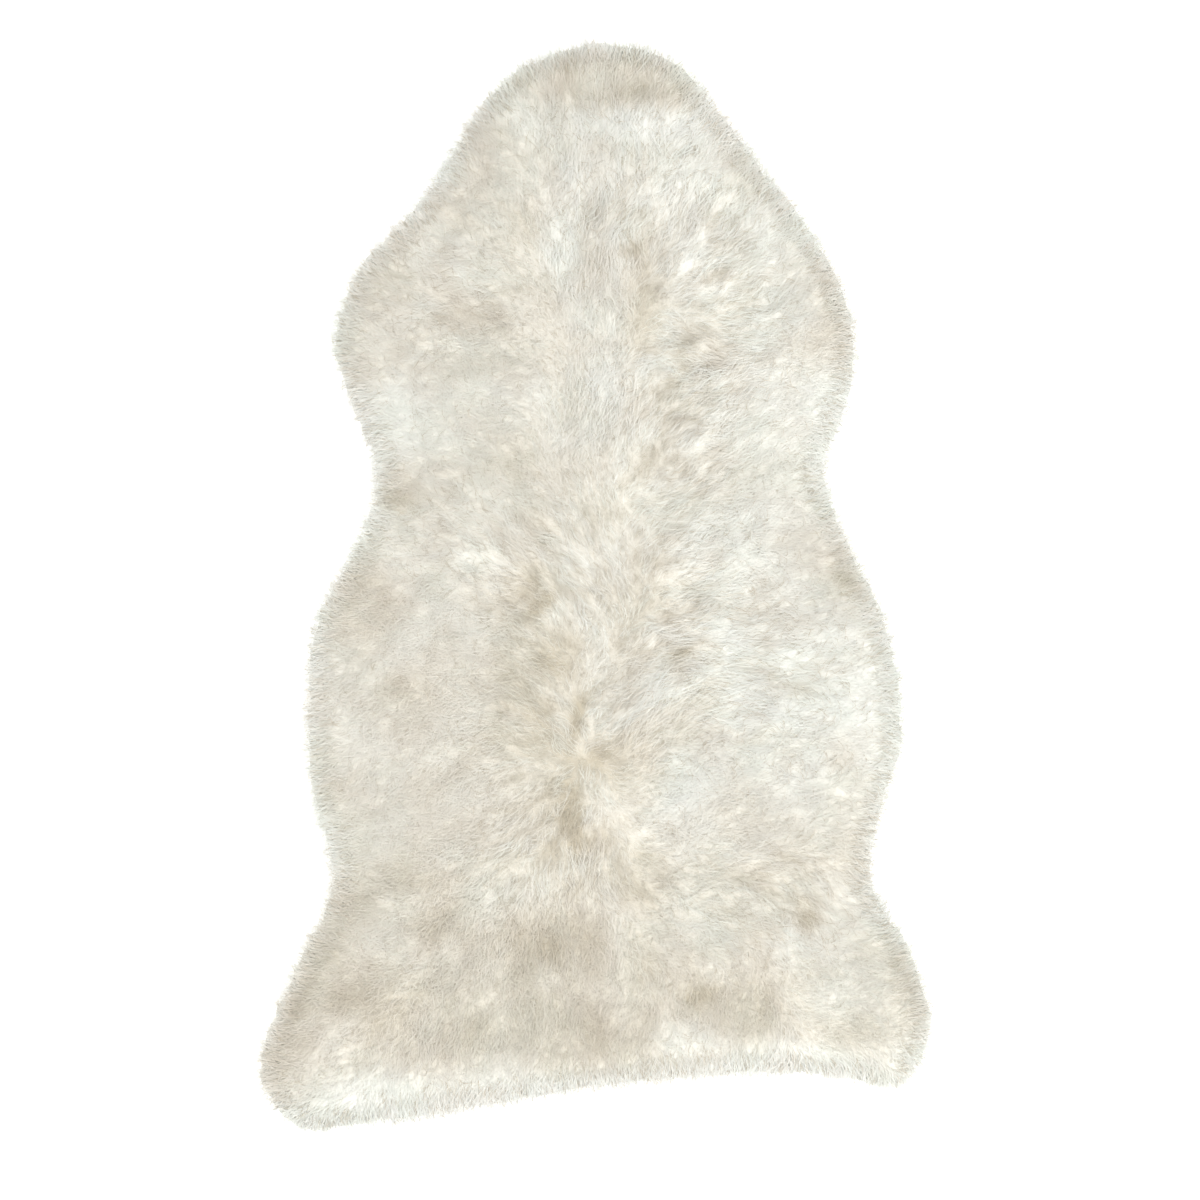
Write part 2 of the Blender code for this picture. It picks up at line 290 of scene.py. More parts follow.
def rounded(points, steps=40):
    """A closed centripetal Catmull-Rom curve through the points."""
    curve = []
    count = len(points)
    for i in range(count):
        a, b, c, d = (points[(i + k) % count] for k in (-1, 0, 1, 2))
        ab, bc, cd = (np.linalg.norm(q - p) ** 0.5 for p, q in ((a, b), (b, c), (c, d)))
        start = ((b - a) / ab - (c - a) / (ab + bc) + (c - b) / bc) * bc
        end = ((c - b) / bc - (d - b) / (bc + cd) + (d - c) / cd) * bc
        t = np.arange(steps)[:, None] / steps
        curve.append((2 * t**3 - 3 * t**2 + 1) * b + (t**3 - 2 * t**2 + t) * start
                     + (-2 * t**3 + 3 * t**2) * c + (t**3 - t**2) * end)
    return np.vstack(curve)


def evenly(curve, count):
    """So many points at even steps along a closed curve."""
    closed = np.vstack([curve, curve[:1]])
    along = np.concatenate([[0], np.cumsum(np.linalg.norm(np.diff(closed, axis=0), axis=1))])
    spots = np.arange(count) / count * along[-1]
    return np.stack([np.interp(spots, along, closed[:, k]) for k in (0, 1)], 1)


RIM = evenly(rounded(landmarks()), RIM_CORNERS)
GRID_LOW = RIM.min(0) - MARGIN
GRID_SIZE = np.ceil((RIM.max(0) + MARGIN - GRID_LOW) / CELL).astype(int) + 1


def outward(reach):
    """The way out of the rug at each corner of RIM, from the corners that many places off."""
    tangent = np.roll(RIM, -reach, 0) - np.roll(RIM, reach, 0)
    return unit(np.stack([-tangent[:, 1], tangent[:, 0]], 1))


def lattice_noise(points, pitch, seed):
    """Smooth noise from -1 to 1 with one bump to a pitch."""
    table = np.random.default_rng(seed).uniform(-1, 1, (NOISE_CELLS, NOISE_CELLS))
    u, v = (points[..., k] / pitch + 2.0 * NOISE_CELLS for k in (0, 1))
    i, j = np.floor(u).astype(int), np.floor(v).astype(int)
    a, b = u - i, v - j
    a, b = a * a * (3 - 2 * a), b * b * (3 - 2 * b)
    i, j, i1, j1 = (k % NOISE_CELLS for k in (i, j, i + 1, j + 1))
    low = table[i, j] * (1 - a) + table[i1, j] * a
    high = table[i, j1] * (1 - a) + table[i1, j1] * a
    return low * (1 - b) + high * b


class Field:
    """Values on a grid over the rug, read between its points."""

    def __init__(self, values):
        self.values = values

    def __call__(self, p):
        u = (p[..., :2] - GRID_LOW) / CELL
        u = np.clip(u, 0, GRID_SIZE - 1.001)
        i = np.floor(u).astype(int)
        a, b = (u - i)[..., 0], (u - i)[..., 1]
        v = self.values
        if v.ndim == 3:
            a, b = a[..., None], b[..., None]
        x, y = i[..., 0], i[..., 1]
        low = v[x, y] * (1 - a) + v[x + 1, y] * a
        high = v[x, y + 1] * (1 - a) + v[x + 1, y + 1] * a
        return low * (1 - b) + high * b


def blurred(values, sigma):
    """Values on the grid, blurred over so many cells."""
    reach = int(3 * sigma)
    kernel = np.exp(-0.5 * (np.arange(-reach, reach + 1) / sigma) ** 2)
    kernel /= kernel.sum()
    for axis in (0, 1):
        padded = np.pad(values, [(reach, reach) if k == axis else (0, 0)
                                 for k in range(values.ndim)], mode="edge")
        values = sum(w * np.take(padded, np.arange(k, k + values.shape[axis]), axis)
                     for k, w in enumerate(kernel))
    return values


def grid_points():
    xs = GRID_LOW[0] + np.arange(GRID_SIZE[0]) * CELL
    ys = GRID_LOW[1] + np.arange(GRID_SIZE[1]) * CELL
    return np.stack(np.meshgrid(xs, ys, indexing="ij"), -1)


def inside(points, ring):
    """Whether each point lies inside a closed ring, from the sides that a line to it crosses."""
    x, y = points[..., 0], points[..., 1]
    hit = np.zeros(x.shape, bool)
    for (px, py), (qx, qy) in zip(ring, np.roll(ring, -1, 0)):
        if py == qy:
            continue
        crossing = (py > y) != (qy > y)
        hit ^= crossing & (x < px + (qx - px) * (y - py) / (qy - py))
    return hit


def nearest(places, points):
    """Which of the places is nearest to each point."""
    tree = KDTree(len(places))
    for i, (x, y) in enumerate(places):
        tree.insert((x, y, 0), i)
    tree.balance()
    return np.array([tree.find((x, y, 0))[1] for x, y in points])


def rim_distance(points):
    """Each point's distance to the outline, positive inside, and the way out of the rug there."""
    flat = points.reshape(-1, 2)
    near = nearest(RIM, flat)
    distance = np.linalg.norm(RIM[near] - flat, axis=1)
    sign = np.where(inside(flat, RIM), 1, -1)
    return (distance * sign).reshape(points.shape[:-1]), outward(6)[near].reshape(points.shape)


def solid_heights(points):
    """The solid's top under each point, and 0 beside it."""
    mesh = SOLID.data
    tree = BVHTree.FromPolygons([v.co for v in mesh.vertices], [p.vertices for p in mesh.polygons])
    heights = np.zeros(points.shape[:-1])
    down = Vector((0, 0, -1))
    for index in np.ndindex(heights.shape):
        hit = tree.ray_cast(Vector((*points[index], ABOVE)), down)[0]
        heights[index] = hit.z if hit else 0.0
    return heights


def bumps(points, rows):
    """The sum of a table's soft ovals: name, x, y, half length, half width in mm, turn, amount."""
    total = np.zeros(points.shape[:-1])
    for _, x, y, half_length, half_width, turn, amount in rows:
        step = points - np.array([x, y]) * MM
        c, s = math.cos(math.radians(turn)), math.sin(math.radians(turn))
        along = (step[..., 0] * c + step[..., 1] * s) / (half_length * MM)
        across = (step[..., 1] * c - step[..., 0] * s) / (half_width * MM)
        total += amount * np.exp(-((along**2 + across**2) ** 1.5))
    return total


def parting_nearness(points):
    """1 on the parting, falling to 0 beside it."""
    best = np.full(points.shape[:-1], 1e9)
    for (_, ax, ay, wide_a), (_, bx, by, wide_b) in zip(PARTING, PARTING[1:]):
        a, b = np.array([ax, ay]) * MM, np.array([bx, by]) * MM
        t = np.clip(((points - a) @ (b - a)) / ((b - a) @ (b - a)), 0, 1)
        gap = np.linalg.norm(points - (a + t[..., None] * (b - a)), axis=-1)
        best = np.minimum(best, gap / ((wide_a + (wide_b - wide_a) * t) * MM))
    return np.exp(-best**2)


def lie_directions(points, distance, out):
    """The way that the wool lies: as LIE says, and straight outwards near the rim."""
    spots = np.array([(x, y) for _, x, y, _ in LIE]) * MM
    angles = np.radians([row[3] for row in LIE])
    towards = np.stack([np.cos(angles), np.sin(angles)], 1)
    gap2 = ((points[..., None, :] - spots) ** 2).sum(-1)
    weight = np.exp(-gap2 / (2 * LIE_REACH**2)) + LIE_FAINT / (1 + gap2 / LIE_FAR**2) ** 2
    lie = weight @ towards / weight.sum(-1)[..., None]
    rim = RIM_COMB * np.exp(-np.clip(distance, 0, None) ** 2 / RIM_COMB_WIDTH**2)
    return lie * (1 - rim[..., None]) + out * rim[..., None]


def drifting(rows):
    """Smooth noise over the grid, summed from rows of pitch in mm, seed and weight."""
    return sum(w * lattice_noise(SPOTS, pitch * MM, seed) for pitch, seed, w in rows)


SPOTS = grid_points()
DISTANCE, OUT = rim_distance(SPOTS)
rim_distance_at = Field(DISTANCE)
rim_out_at = Field(OUT)
top_at = Field(blurred(solid_heights(SPOTS), 2.0))
parting_at = Field(parting_nearness(SPOTS))

# the lie wanders a little away from the rim, and most along the parting
wander = drifting(((46, 13, 0.34), (20, 14, 0.22)))
wander *= smoothstep((DISTANCE - 12 * MM) / (40 * MM)) * (0.55 + 0.8 * parting_at.values)
lie_at = Field(blurred(turned(unit(lie_directions(SPOTS, DISTANCE, OUT)), wander), 1.5))
tuft_at = Field(np.clip(bumps(SPOTS, TUFTS), 0, 1))


def combed(points, pitch, seed, reach):
    """Noise drawn out along the lie of the wool, about -1 to 1."""
    total = np.zeros(points.shape[:-1])
    for way in (1, -1):
        here = points.copy()
        for k in range(COMB_STEPS):
            total += lattice_noise(here, pitch, seed)
            here = here + way * unit(lie_at(here)) * reach / COMB_STEPS
    return total / COMB_STEPS * COMB_GAIN


def relief(points, distance):
    """Soft ridges and locks on the wool's surface, in mm."""
    tufts = tuft_at(points)
    ridges = combed(points, 9 * MM, 11, 9 * MM) * (0.25 + 0.45 * tufts)
    swells = combed(points, 21 * MM, 12, 16 * MM) * (0.6 + 0.4 * tufts)
    return (ridges + swells) * smoothstep((distance - 8 * MM) / (36 * MM))


RELIEF = relief(SPOTS, DISTANCE)
surface_at = Field(top_at.values + RELIEF * MM)

# where the lie spreads apart, the wool stands upright
spread = sum(np.gradient(lie_at.values[..., k], CELL, axis=k) for k in (0, 1))
upright_at = Field(np.clip(blurred(smoothstep(spread * 22 * MM), 3), 0, 1))

# painted shade: fine darker streaks in the tufts' crevices; and the gaps between locks, which are
# where gap_at is over 1
crevice_streaks = combed(SPOTS, 6 * MM, 35, 6 * MM)
crevice_shade_at = Field(smoothstep((crevice_streaks - 0.42) / 0.5) * (0.15 + 0.85 * tuft_at.values))
gaps = combed(SPOTS, 5 * MM, 36, 6 * MM)
gaps /= np.percentile(gaps[DISTANCE > 20 * MM], 97)
gap_at = Field(gaps * (0.5 + 0.6 * parting_nearness(SPOTS)))

# the wool's shade, from 0 dark to 1 pale: its own tone with painted light and shade added
MIDDLE_SHADE = 0.50
PATCH_SHADE = 0.225  # for one unit of the patches, partly painted light and shade, and of the clouds
RELIEF_PAINTED_SHADE = 0.06  # painted shade and light: paler on the relief's ridges, darker in its hollows, for each mm
RIGHT_PAINTED_LIGHT = 0.10  # painted light: paler for each metre towards the right, the key light's side
RIM_PAINTED_LIGHT = 0.13  # painted light: paler near the rim, where the wool curves down into less light
TIP_PAINTED_LIGHT = 0.40  # painted light: paler at the rim's thin tips, as if light came through them
clouds = drifting(((70, 31, 0.20), (34, 32, 0.12)))
shade_at = Field(MIDDLE_SHADE + PATCH_SHADE * (bumps(SPOTS, SHADES) + clouds) + RELIEF_PAINTED_SHADE * RELIEF
                 + RIGHT_PAINTED_LIGHT * SPOTS[..., 0]
                 + RIM_PAINTED_LIGHT * (1 - smoothstep((DISTANCE - 4 * MM) / (18 * MM)))
                 + TIP_PAINTED_LIGHT * (1 - smoothstep((DISTANCE + 1 * MM) / (9 * MM))))
cast_at = Field(drifting(((34, 36, 1.0), (14, 37, 0.7))))


# ---------------------------------------------------------------- materials


class Socket:
    """A node's output, on which sums and products add Math nodes."""

    def __init__(self, nodes, link):
        self.nodes, self.link = nodes, link

    def __add__(self, other):
        return self.nodes.maths("ADD", self, other)

    def __sub__(self, other):
        return self.nodes.maths("SUBTRACT", self, other)

    def __rsub__(self, other):
        return self.nodes.maths("SUBTRACT", other, self)

    def __mul__(self, other):
        return self.nodes.maths("MULTIPLY", self, other)

    def __truediv__(self, other):
        return self.nodes.maths("DIVIDE", self, other)

    def __rtruediv__(self, other):
        return self.nodes.maths("DIVIDE", other, self)

    __radd__, __rmul__ = __add__, __mul__

    def out(self, name):
        """Another output of the same node."""
        return Socket(self.nodes, self.link.node.outputs[name])


class Nodes:
    """A node tree, to which one method adds every node."""

    def __init__(self, tree):
        self.tree = tree

    def fill(self, node, sockets):
        for name, value in sockets.items():
            if isinstance(value, Socket):
                self.tree.links.new(value.link, node.inputs[name])
            else:
                node.inputs[name].default_value = value

    def node(self, kind, settings=None, sockets=None, output=0):
        node = self.tree.nodes.new(kind)
        for name, value in (settings or {}).items():
            if name == "stops":
                ramp = node.color_ramp.elements
                while len(ramp) < len(value):
                    ramp.new(0.5)
                for stop, (place, colour) in zip(ramp, value):
                    stop.position, stop.color = place, (*colour, 1)
            else:
                setattr(node, name, value)
        self.fill(node, sockets or {})
        return Socket(self, node.outputs[output]) if node.outputs else None

    def maths(self, operation, a, b=0.0):
        return self.node("ShaderNodeMath", {"operation": operation}, {0: a, 1: b})

    def vectors(self, operation, a, b=(0, 0, 0)):
        return self.node("ShaderNodeVectorMath", {"operation": operation}, {0: a, 1: b})

    def scaled(self, vector, scale):
        return self.node("ShaderNodeVectorMath", {"operation": "SCALE"}, {0: vector, "Scale": scale})

    def mix(self, factor, a, b):
        a, b = (c if isinstance(c, Socket) else (*c, 1) for c in (a, b))
        return self.node("ShaderNodeMix", {"data_type": "RGBA"}, {0: factor, 6: a, 7: b}, 2)


class Shader(Nodes):
    """A material's node tree."""

    def __init__(self, name):
        self.material = bpy.data.materials.new(name)
        self.material.use_nodes = True
        super().__init__(self.material.node_tree)

    def surface(self, **sockets):
        principled = self.tree.nodes["Principled BSDF"]
        self.fill(principled, {k.replace("_", " "): v for k, v in sockets.items()})
        return self.material


def linear(*srgb):
    return tuple((c / 255 / 12.92) if c <= 10 else ((c / 255 + 0.055) / 1.055) ** 2.4 for c in srgb)


# Painted shade: towards its root a strand is warmer and a little darker, for its depth in the wool
ROOT_COLOUR = linear(240, 238, 226)
TONES = (
    (0.0, linear(200, 191, 172)),
    (0.3, linear(230, 225, 213)),
    (0.6, linear(244, 244, 237)),
    (1.0, linear(250, 251, 247)),
)
CASTS = ((1.0, 0.983, 0.97), (1.0, 1.0, 1.0), (0.986, 1.0, 0.985))  # pinkish, plain, greenish
MAT_CAST = (1.0, 1.0, 0.995)


def strand_material():
    """Wool by its own map: across it is the shade, up it one row for each cast, root to tip."""
    s = Shader("combed_wool")
    place = s.node("ShaderNodeUVMap", {"uv_map": "OFBake"})
    split = s.node("ShaderNodeSeparateXYZ", None, {0: place})
    up = split.out("Y") * len(CASTS)
    row = s.maths("FLOOR", up)
    along = up - row
    tone = s.node("ShaderNodeValToRGB", {"stops": TONES}, {0: split.out("X")})
    # painted shade of depth: towards the root the tone goes over to ROOT_COLOUR
    depth = s.node("ShaderNodeMapRange", {"interpolation_type": "SMOOTHSTEP"},
                   {0: along, 1: 0.0, 2: 0.5, 3: 0.35, 4: 1.0})
    stops = [(k / (len(CASTS) - 1), colour) for k, colour in enumerate(CASTS)]
    cast = s.node("ShaderNodeValToRGB", {"stops": stops}, {0: row / (len(CASTS) - 1)})
    colour = s.vectors("MULTIPLY", s.mix(depth, ROOT_COLOUR, tone), cast)
    return s.surface(Base_Color=colour, Roughness=0.85, Sheen_Weight=0.1, Sheen_Roughness=0.6)


def undercoat_material():
    """Matted wool between the strands, toned by the shade kept on its points."""
    s = Shader("matted_wool")
    place = s.node("ShaderNodeTexCoord", output="Object")
    mat = s.node("ShaderNodeTexNoise", None,
                 {"Vector": place, "Scale": 420.0, "Detail": 4.0, "Distortion": 0.8})
    shade = s.node("ShaderNodeAttribute", {"attribute_name": "shade"}, None, "Fac")
    # painted shade: its tone is 0.12 darker for its depth among the strands, with a fine mat noise
    tone = s.node("ShaderNodeValToRGB", {"stops": TONES}, {0: shade + (mat - 0.5) * 0.3 - 0.12})
    bump = s.node("ShaderNodeBump", None, {"Height": mat, "Strength": 0.5, "Distance": 0.002})
    return s.surface(Base_Color=s.vectors("MULTIPLY", tone, MAT_CAST), Roughness=0.9, Normal=bump)


def suede_material():
    """Napped skin side, clouded and faintly veined."""
    s = Shader("tanned_suede")
    place = s.node("ShaderNodeTexCoord", output="Object")
    nap = s.node("ShaderNodeTexNoise", None, {"Vector": place, "Scale": 900.0, "Detail": 4.0})
    cloud = s.node("ShaderNodeTexNoise", None, {"Vector": place, "Scale": 9.0, "Detail": 5.0})
    vein = s.node("ShaderNodeTexNoise", None,
                  {"Vector": place, "Scale": 30.0, "Detail": 6.0, "Distortion": 1.6})
    tone = s.mix(cloud * 0.7 + vein * 0.3, linear(206, 186, 152), linear(236, 224, 200))
    height = nap * 0.5 + vein * 0.5
    bump = s.node("ShaderNodeBump", None, {"Height": height, "Strength": 0.35, "Distance": 0.001})
    return s.surface(Base_Color=tone, Roughness=0.9, Sheen_Weight=0.3, Normal=bump)


# ---------------------------------------------------------------- skin and undercoat

UNDERCOAT_EDGE = 5 * MM  # its edge, in from the wool tips
UNDERCOAT_SINK = 2.6 * MM  # under the wool's surface
UNDERCOAT_EDGE_SINK = 3.4 * MM
UNDERCOAT_PITCH = 5 * MM
UNDERCOAT_CORNERS = 540
UNDERCOAT_FLOOR = 0.4 * MM  # its underside, off the floor
RAGGED = 2.0 * MM  # how far its edge wanders
HIDE_EDGE = 32 * MM  # in from the wool tips
HIDE_THICK = 1.8 * MM
HIDE_CORNERS = 300
HIDE_BEVEL = 0.3 * MM  # down the cut edge
HIDE_BEVEL_WIDTH = 1.2 * MM


def inset_ring(distance, count):
    """The outline drawn in by a distance, as so many even points."""
    return evenly(RIM - outward(16) * distance, count)


def staggered(low, high, pitch):
    """Rows of points at a pitch, every other row moved along by half of it."""
    ys = np.arange(low[1], high[1], pitch * math.sqrt(3) / 2)
    xs = np.arange(low[0], high[0], pitch)
    return np.array([(x + (k % 2) * pitch / 2, y) for k, y in enumerate(ys) for x in xs])


def add_ring(mesh, ring, heights):
    heights = np.broadcast_to(heights, len(ring))
    return [mesh.verts.new((x, y, z)) for (x, y), z in zip(ring, heights)]


def bridge(mesh, upper, lower):
    for i in range(len(upper)):
        j = (i + 1) % len(upper)
        mesh.faces.new((upper[i], upper[j], lower[j], lower[i]))


def finished(name, mesh, material):
    bmesh.ops.recalc_face_normals(mesh, faces=mesh.faces)
    data = bpy.data.meshes.new(name)
    mesh.to_mesh(data)
    mesh.free()
    data.materials.append(material)
    data.shade_smooth()
    piece = bpy.data.objects.new(name, data)
    bpy.context.scene.collection.objects.link(piece)
    return piece


def undercoat_height(p):
    """Under the wool's surface, and lower towards its edge, where the rim's strands cover it."""
    inner = smoothstep((rim_distance_at(p) - UNDERCOAT_EDGE) / (22 * MM))
    sink = UNDERCOAT_EDGE_SINK + (UNDERCOAT_SINK - UNDERCOAT_EDGE_SINK) * inner
    return np.maximum(surface_at(p) - sink, HIDE_THICK + 0.6 * MM)


def undercoat_shade(p):
    """The strands' shade with painted light and shade: a little paler, and paler near the rim, to
    make up for the shade it lies in; darker where the wool stands upright or parts in tufts and shows
    it.
    """
    rim = 1 - smoothstep((rim_distance_at(p) - 6 * MM) / (20 * MM))
    return shade_at(p) + 0.06 + 0.24 * rim - 0.08 * upright_at(p) - 0.14 * tuft_at(p)


def add_undercoat_top(mesh, ring):
    """The lumpy top as triangles between the ring and points inside it. Gives the ring's corners."""
    field = staggered(ring.min(0), ring.max(0), UNDERCOAT_PITCH)
    least = UNDERCOAT_EDGE + 0.7 * UNDERCOAT_PITCH
    field = field[(rim_distance_at(field) > least) & inside(field, ring)]
    points = [Vector(p) for p in np.vstack([ring, field])]
    border = [(i, (i + 1) % len(ring)) for i in range(len(ring))]
    made = geometry.delaunay_2d_cdt(points, border, [], 1, 1e-7)
    spots, faces, origins = np.array([tuple(v) for v in made[0]]), made[2], made[3]
    verts = add_ring(mesh, spots, undercoat_height(spots))
    for corners in faces:
        mesh.faces.new([verts[k] for k in corners])
    place = {min(origin): verts[k] for k, origin in enumerate(origins) if origin}
    return [place[i] for i in range(len(ring))]


def make_undercoat():
    """A closed mat of wool round the hide, with a ragged edge and its shade on its points."""
    ring = inset_ring(UNDERCOAT_EDGE, UNDERCOAT_CORNERS)
    ragged = lattice_noise(ring, 7 * MM, 51) + lattice_noise(ring, 16 * MM, 52)
    ring = ring + rim_out_at(ring) * ragged[:, None] * RAGGED
    mesh = bmesh.new()
    top = add_undercoat_top(mesh, ring)
    under = inset_ring(HIDE_EDGE - 1 * MM, UNDERCOAT_CORNERS)
    rows = [top, add_ring(mesh, ring, UNDERCOAT_FLOOR), add_ring(mesh, under, UNDERCOAT_FLOOR),
            add_ring(mesh, under, HIDE_THICK + 0.3 * MM)]
    for upper, lower in zip(rows, rows[1:]):
        bridge(mesh, upper, lower)
    mesh.faces.new(rows[-1])
    piece = finished("wool_undercoat", mesh, undercoat_material())
    spots = np.empty(len(piece.data.vertices) * 3)
    piece.data.vertices.foreach_get("co", spots)
    tone = piece.data.attributes.new("shade", "FLOAT", "POINT")
    shade = undercoat_shade(spots.reshape(-1, 3))
    tone.data.foreach_set("value", shade.astype(np.float32))
    return piece


def make_hide():
    """The tanned skin: a flat sheet with a narrow bevel down its cut edge."""
    mesh = bmesh.new()
    edge = inset_ring(HIDE_EDGE, HIDE_CORNERS)
    inner = inset_ring(HIDE_EDGE + HIDE_BEVEL_WIDTH, HIDE_CORNERS)
    rows = [add_ring(mesh, inner, HIDE_THICK), add_ring(mesh, edge, HIDE_THICK - HIDE_BEVEL),
            add_ring(mesh, edge, HIDE_BEVEL), add_ring(mesh, inner, 0.0)]
    for upper, lower in zip(rows, rows[1:]):
        bridge(mesh, upper, lower)
    mesh.faces.new(rows[0])
    mesh.faces.new(rows[-1])
    return finished("tanned_hide", mesh, suede_material())


# ---------------------------------------------------------------- strands

# piece, lowest y and highest y in mm, side (-1 left of the parting, 1 right, 0 both)
REGIONS = (
    ("wool_head", 215, 600, 0),
    ("wool_back_left", -70, 215, -1),
    ("wool_back_right", -70, 215, 1),
    ("wool_rump_left", -330, -70, -1),
    ("wool_rump_right", -330, -70, 1),
    ("wool_tail", -600, -330, 0),
)
ROOT_PITCH = 2.85 * MM
LOCK_PITCH = 11 * MM
STRAND_LENGTH = 33 * MM
SEGMENTS = 2
ROOT_EDGE = 16 * MM  # from the wool tips to the outermost roots
RIM_LENGTH = 2.95  # about, in metres
# the rim's own rows of roots, in mm: in from the tips, pitch
RIM_ROWS = ((9, 1.5), (13, 1.4), (17, 1.3), (22, 1.5), (28, 1.7))

# How strands and locks vary, as spreads about their mean. Turns are in radians.
LOCK_TURN = 0.14
STRAND_TURN = 0.6
STRAND_CURL = 0.7
LOCK_CURL = 0.2
REACH = 5.0  # of the rim's tips past the outline, in mm
STRAY = 0.24  # of loose tips over the others, in mm
OWN_SHADE = 0.015

# A lock's strands draw together by these shares in smooth wool, and by so much more in a tuft
DRAW_ALONG = (0.10, 0.55)
DRAW_ACROSS = (0.14, 0.50)

# Wool in a gap between locks is short and stands over the undercoat; it is painted dark, painted
# shade of the gap
GAP_LENGTH = 0.3
GAP_RISE = 1.0 * MM
GAP_PAINTED_SHADE = 0.26
# painted shade in the tufts' crevices
CREVICE_PAINTED_SHADE = 0.36

STRAND_SIZES = (
    ("Sides", "NodeSocketInt", 3),
    ("Steps", "NodeSocketInt", SEGMENTS),
    ("Tip width", "NodeSocketFloat", 0.35),
    ("Root width", "NodeSocketFloat", 0.75),
    ("Relief", "NodeSocketFloat", 0.08),
    ("Curl", "NodeSocketFloat", 0.0007),
    ("Seed", "NodeSocketInt", 5),
)
HELPERS = ("root", "width", "shade", "cast", "facing", "along", "around", "at")


def scattered(pitch, seed, least):
    """Points over the rug at a pitch, each a little off its place."""
    field = staggered(RIM.min(0), RIM.max(0) + (pitch, 0), pitch)
    field += np.random.default_rng(seed).uniform(-0.42, 0.42, field.shape) * pitch
    return field[rim_distance_at(field) > least]


def rim_roots(rng):
    rows = []
    for back, pitch in RIM_ROWS:
        row = inset_ring(back * MM, int(RIM_LENGTH / (pitch * MM)))
        rows.append(row + rng.uniform(-1.2, 1.2, row.shape) * MM)
    return np.vstack(rows)


def trace(start, turn, curl, step):
    """Paths that follow the lie of the wool, turned off it and curling."""
    path = [start]
    for k in range(SEGMENTS):
        towards = turned(unit(lie_at(path[-1])), turn + curl * k)
        path.append(path[-1] + towards * step[:, None])
    return np.stack(path, 1)


def wool_paths():
    """Every strand's points from root to tip, its shade at each, and its width and cast."""
    rng = np.random.default_rng(41)
    rim = rim_roots(rng)
    roots = np.vstack([scattered(ROOT_PITCH, 3, ROOT_EDGE), rim])
    count = len(roots)
    of_rim = np.arange(count) >= count - len(rim)
    locks = scattered(LOCK_PITCH, 4, 3 * MM)
    warp = np.stack([lattice_noise(roots, 9 * MM, seed) for seed in (21, 22)], 1)
    own = nearest(locks, roots + warp * 4 * MM)
    tufts = tuft_at(roots)
    lock_turn = rng.normal(0, LOCK_TURN, len(locks))[own] * (0.7 + 1.3 * tufts)
    lock_long = rng.uniform(0.8, 1.12, len(locks))[own]
    lock_lift = rng.uniform(-1, 1, len(locks))[own]
    lock_shade = rng.normal(0, 1, len(locks))[own]
    gap = (gap_at(roots) > 1) & ~of_rim

    # each strand's length, and how it leaves the lie
    distance = rim_distance_at(roots)
    upright = np.clip(0.6 * parting_at(roots) + 1.2 * upright_at(roots), 0, 1)
    length = STRAND_LENGTH * lock_long * rng.uniform(0.85, 1.12, count) * (1 - 0.35 * upright)
    length = np.where(gap, GAP_LENGTH * length, length)
    reach = (rng.normal(0.6, REACH, count).clip(-14, 9) + 1.2 * lock_lift) * MM
    step = length * (0.92 - 0.35 * upright) / SEGMENTS
    to_tip = np.maximum(distance + reach, 5 * MM)
    step = np.where(of_rim, np.minimum(step, to_tip / SEGMENTS), step)
    loose = 0.45 + 0.55 * smoothstep((distance - 20 * MM) / (40 * MM))
    turn = lock_turn + rng.normal(0, STRAND_TURN, count) * loose
    curl = (rng.normal(0, STRAND_CURL, count) + rng.normal(0, LOCK_CURL, len(locks))[own]) * loose
    path = trace(roots, turn, curl, step)

    # a lock's strands draw together, most of all lengthwise at their tips
    t = np.linspace(0, 1, SEGMENTS + 1)
    drift = trace(locks[own], lock_turn, curl * 0, step) - path
    lie = unit(lie_at(path))
    lengthwise = (drift * lie).sum(-1, keepdims=True) * lie
    draw = (t**1.3)[None, :, None] * (1 - of_rim)[:, None, None]
    tuft = tufts[:, None, None]
    path = path + draw * ((DRAW_ALONG[0] + DRAW_ALONG[1] * tuft) * lengthwise
                          + (DRAW_ACROSS[0] + DRAW_ACROSS[1] * tuft) * (drift - lengthwise))

    # tips past the outline are drawn back to just about it
    over = np.clip(-rim_distance_at(path) - reach[:, None], 0, None)
    path = path - rim_out_at(path) * over[..., None]

    # roots sit in the undercoat, tips near the wool's surface, and none goes through the floor
    inner = smoothstep((rim_distance_at(path) - 4 * MM) / (34 * MM))
    deep = UNDERCOAT_SINK + np.where(of_rim, 3, 1) * MM
    depth = deep[:, None] * (1 - t) ** 1.5 + np.where(of_rim, 1.5, 0)[:, None] * MM * inner
    rise = (upright * 4 * MM + lock_lift * (0.2 + 1.5 * tufts) * MM)[:, None] * t
    rise = rise + np.where(gap, GAP_RISE, 0)[:, None]
    stray = rng.exponential(STRAY, count).clip(0, 3.0)
    loft = (stray - 0.4)[:, None] * MM * t
    height = surface_at(path) - depth * np.maximum(inner, 0.5 * (1 - t)) + (rise + loft) * inner
    height = np.maximum(height, (0.9 + 3.2 * rng.random(count))[:, None] * MM)
    points = np.concatenate([path, height[..., None]], -1)

    own_shade = OWN_SHADE * lock_shade * (1 + tufts) + OWN_SHADE * rng.normal(0, 1, count)
    # painted shade: strands in a gap between locks are made darker
    own_shade = own_shade - np.where(gap, GAP_PAINTED_SHADE, 0)
    # painted shade in the tufts' crevices is taken off each strand's shade
    shade = shade_at(path) - CREVICE_PAINTED_SHADE * crevice_shade_at(path) + own_shade[:, None]
    width = rng.uniform(0.20, 0.34, count) * MM * np.where(of_rim, 1.1, 1.0)
    cast = cast_at(path[:, 1]) + rng.normal(0, 0.4, count)
    cast = np.where(cast < -0.3, 0, np.where(cast > 0.3, 2, 1))
    return points, width, np.clip(shade, 0.01, 0.98), cast


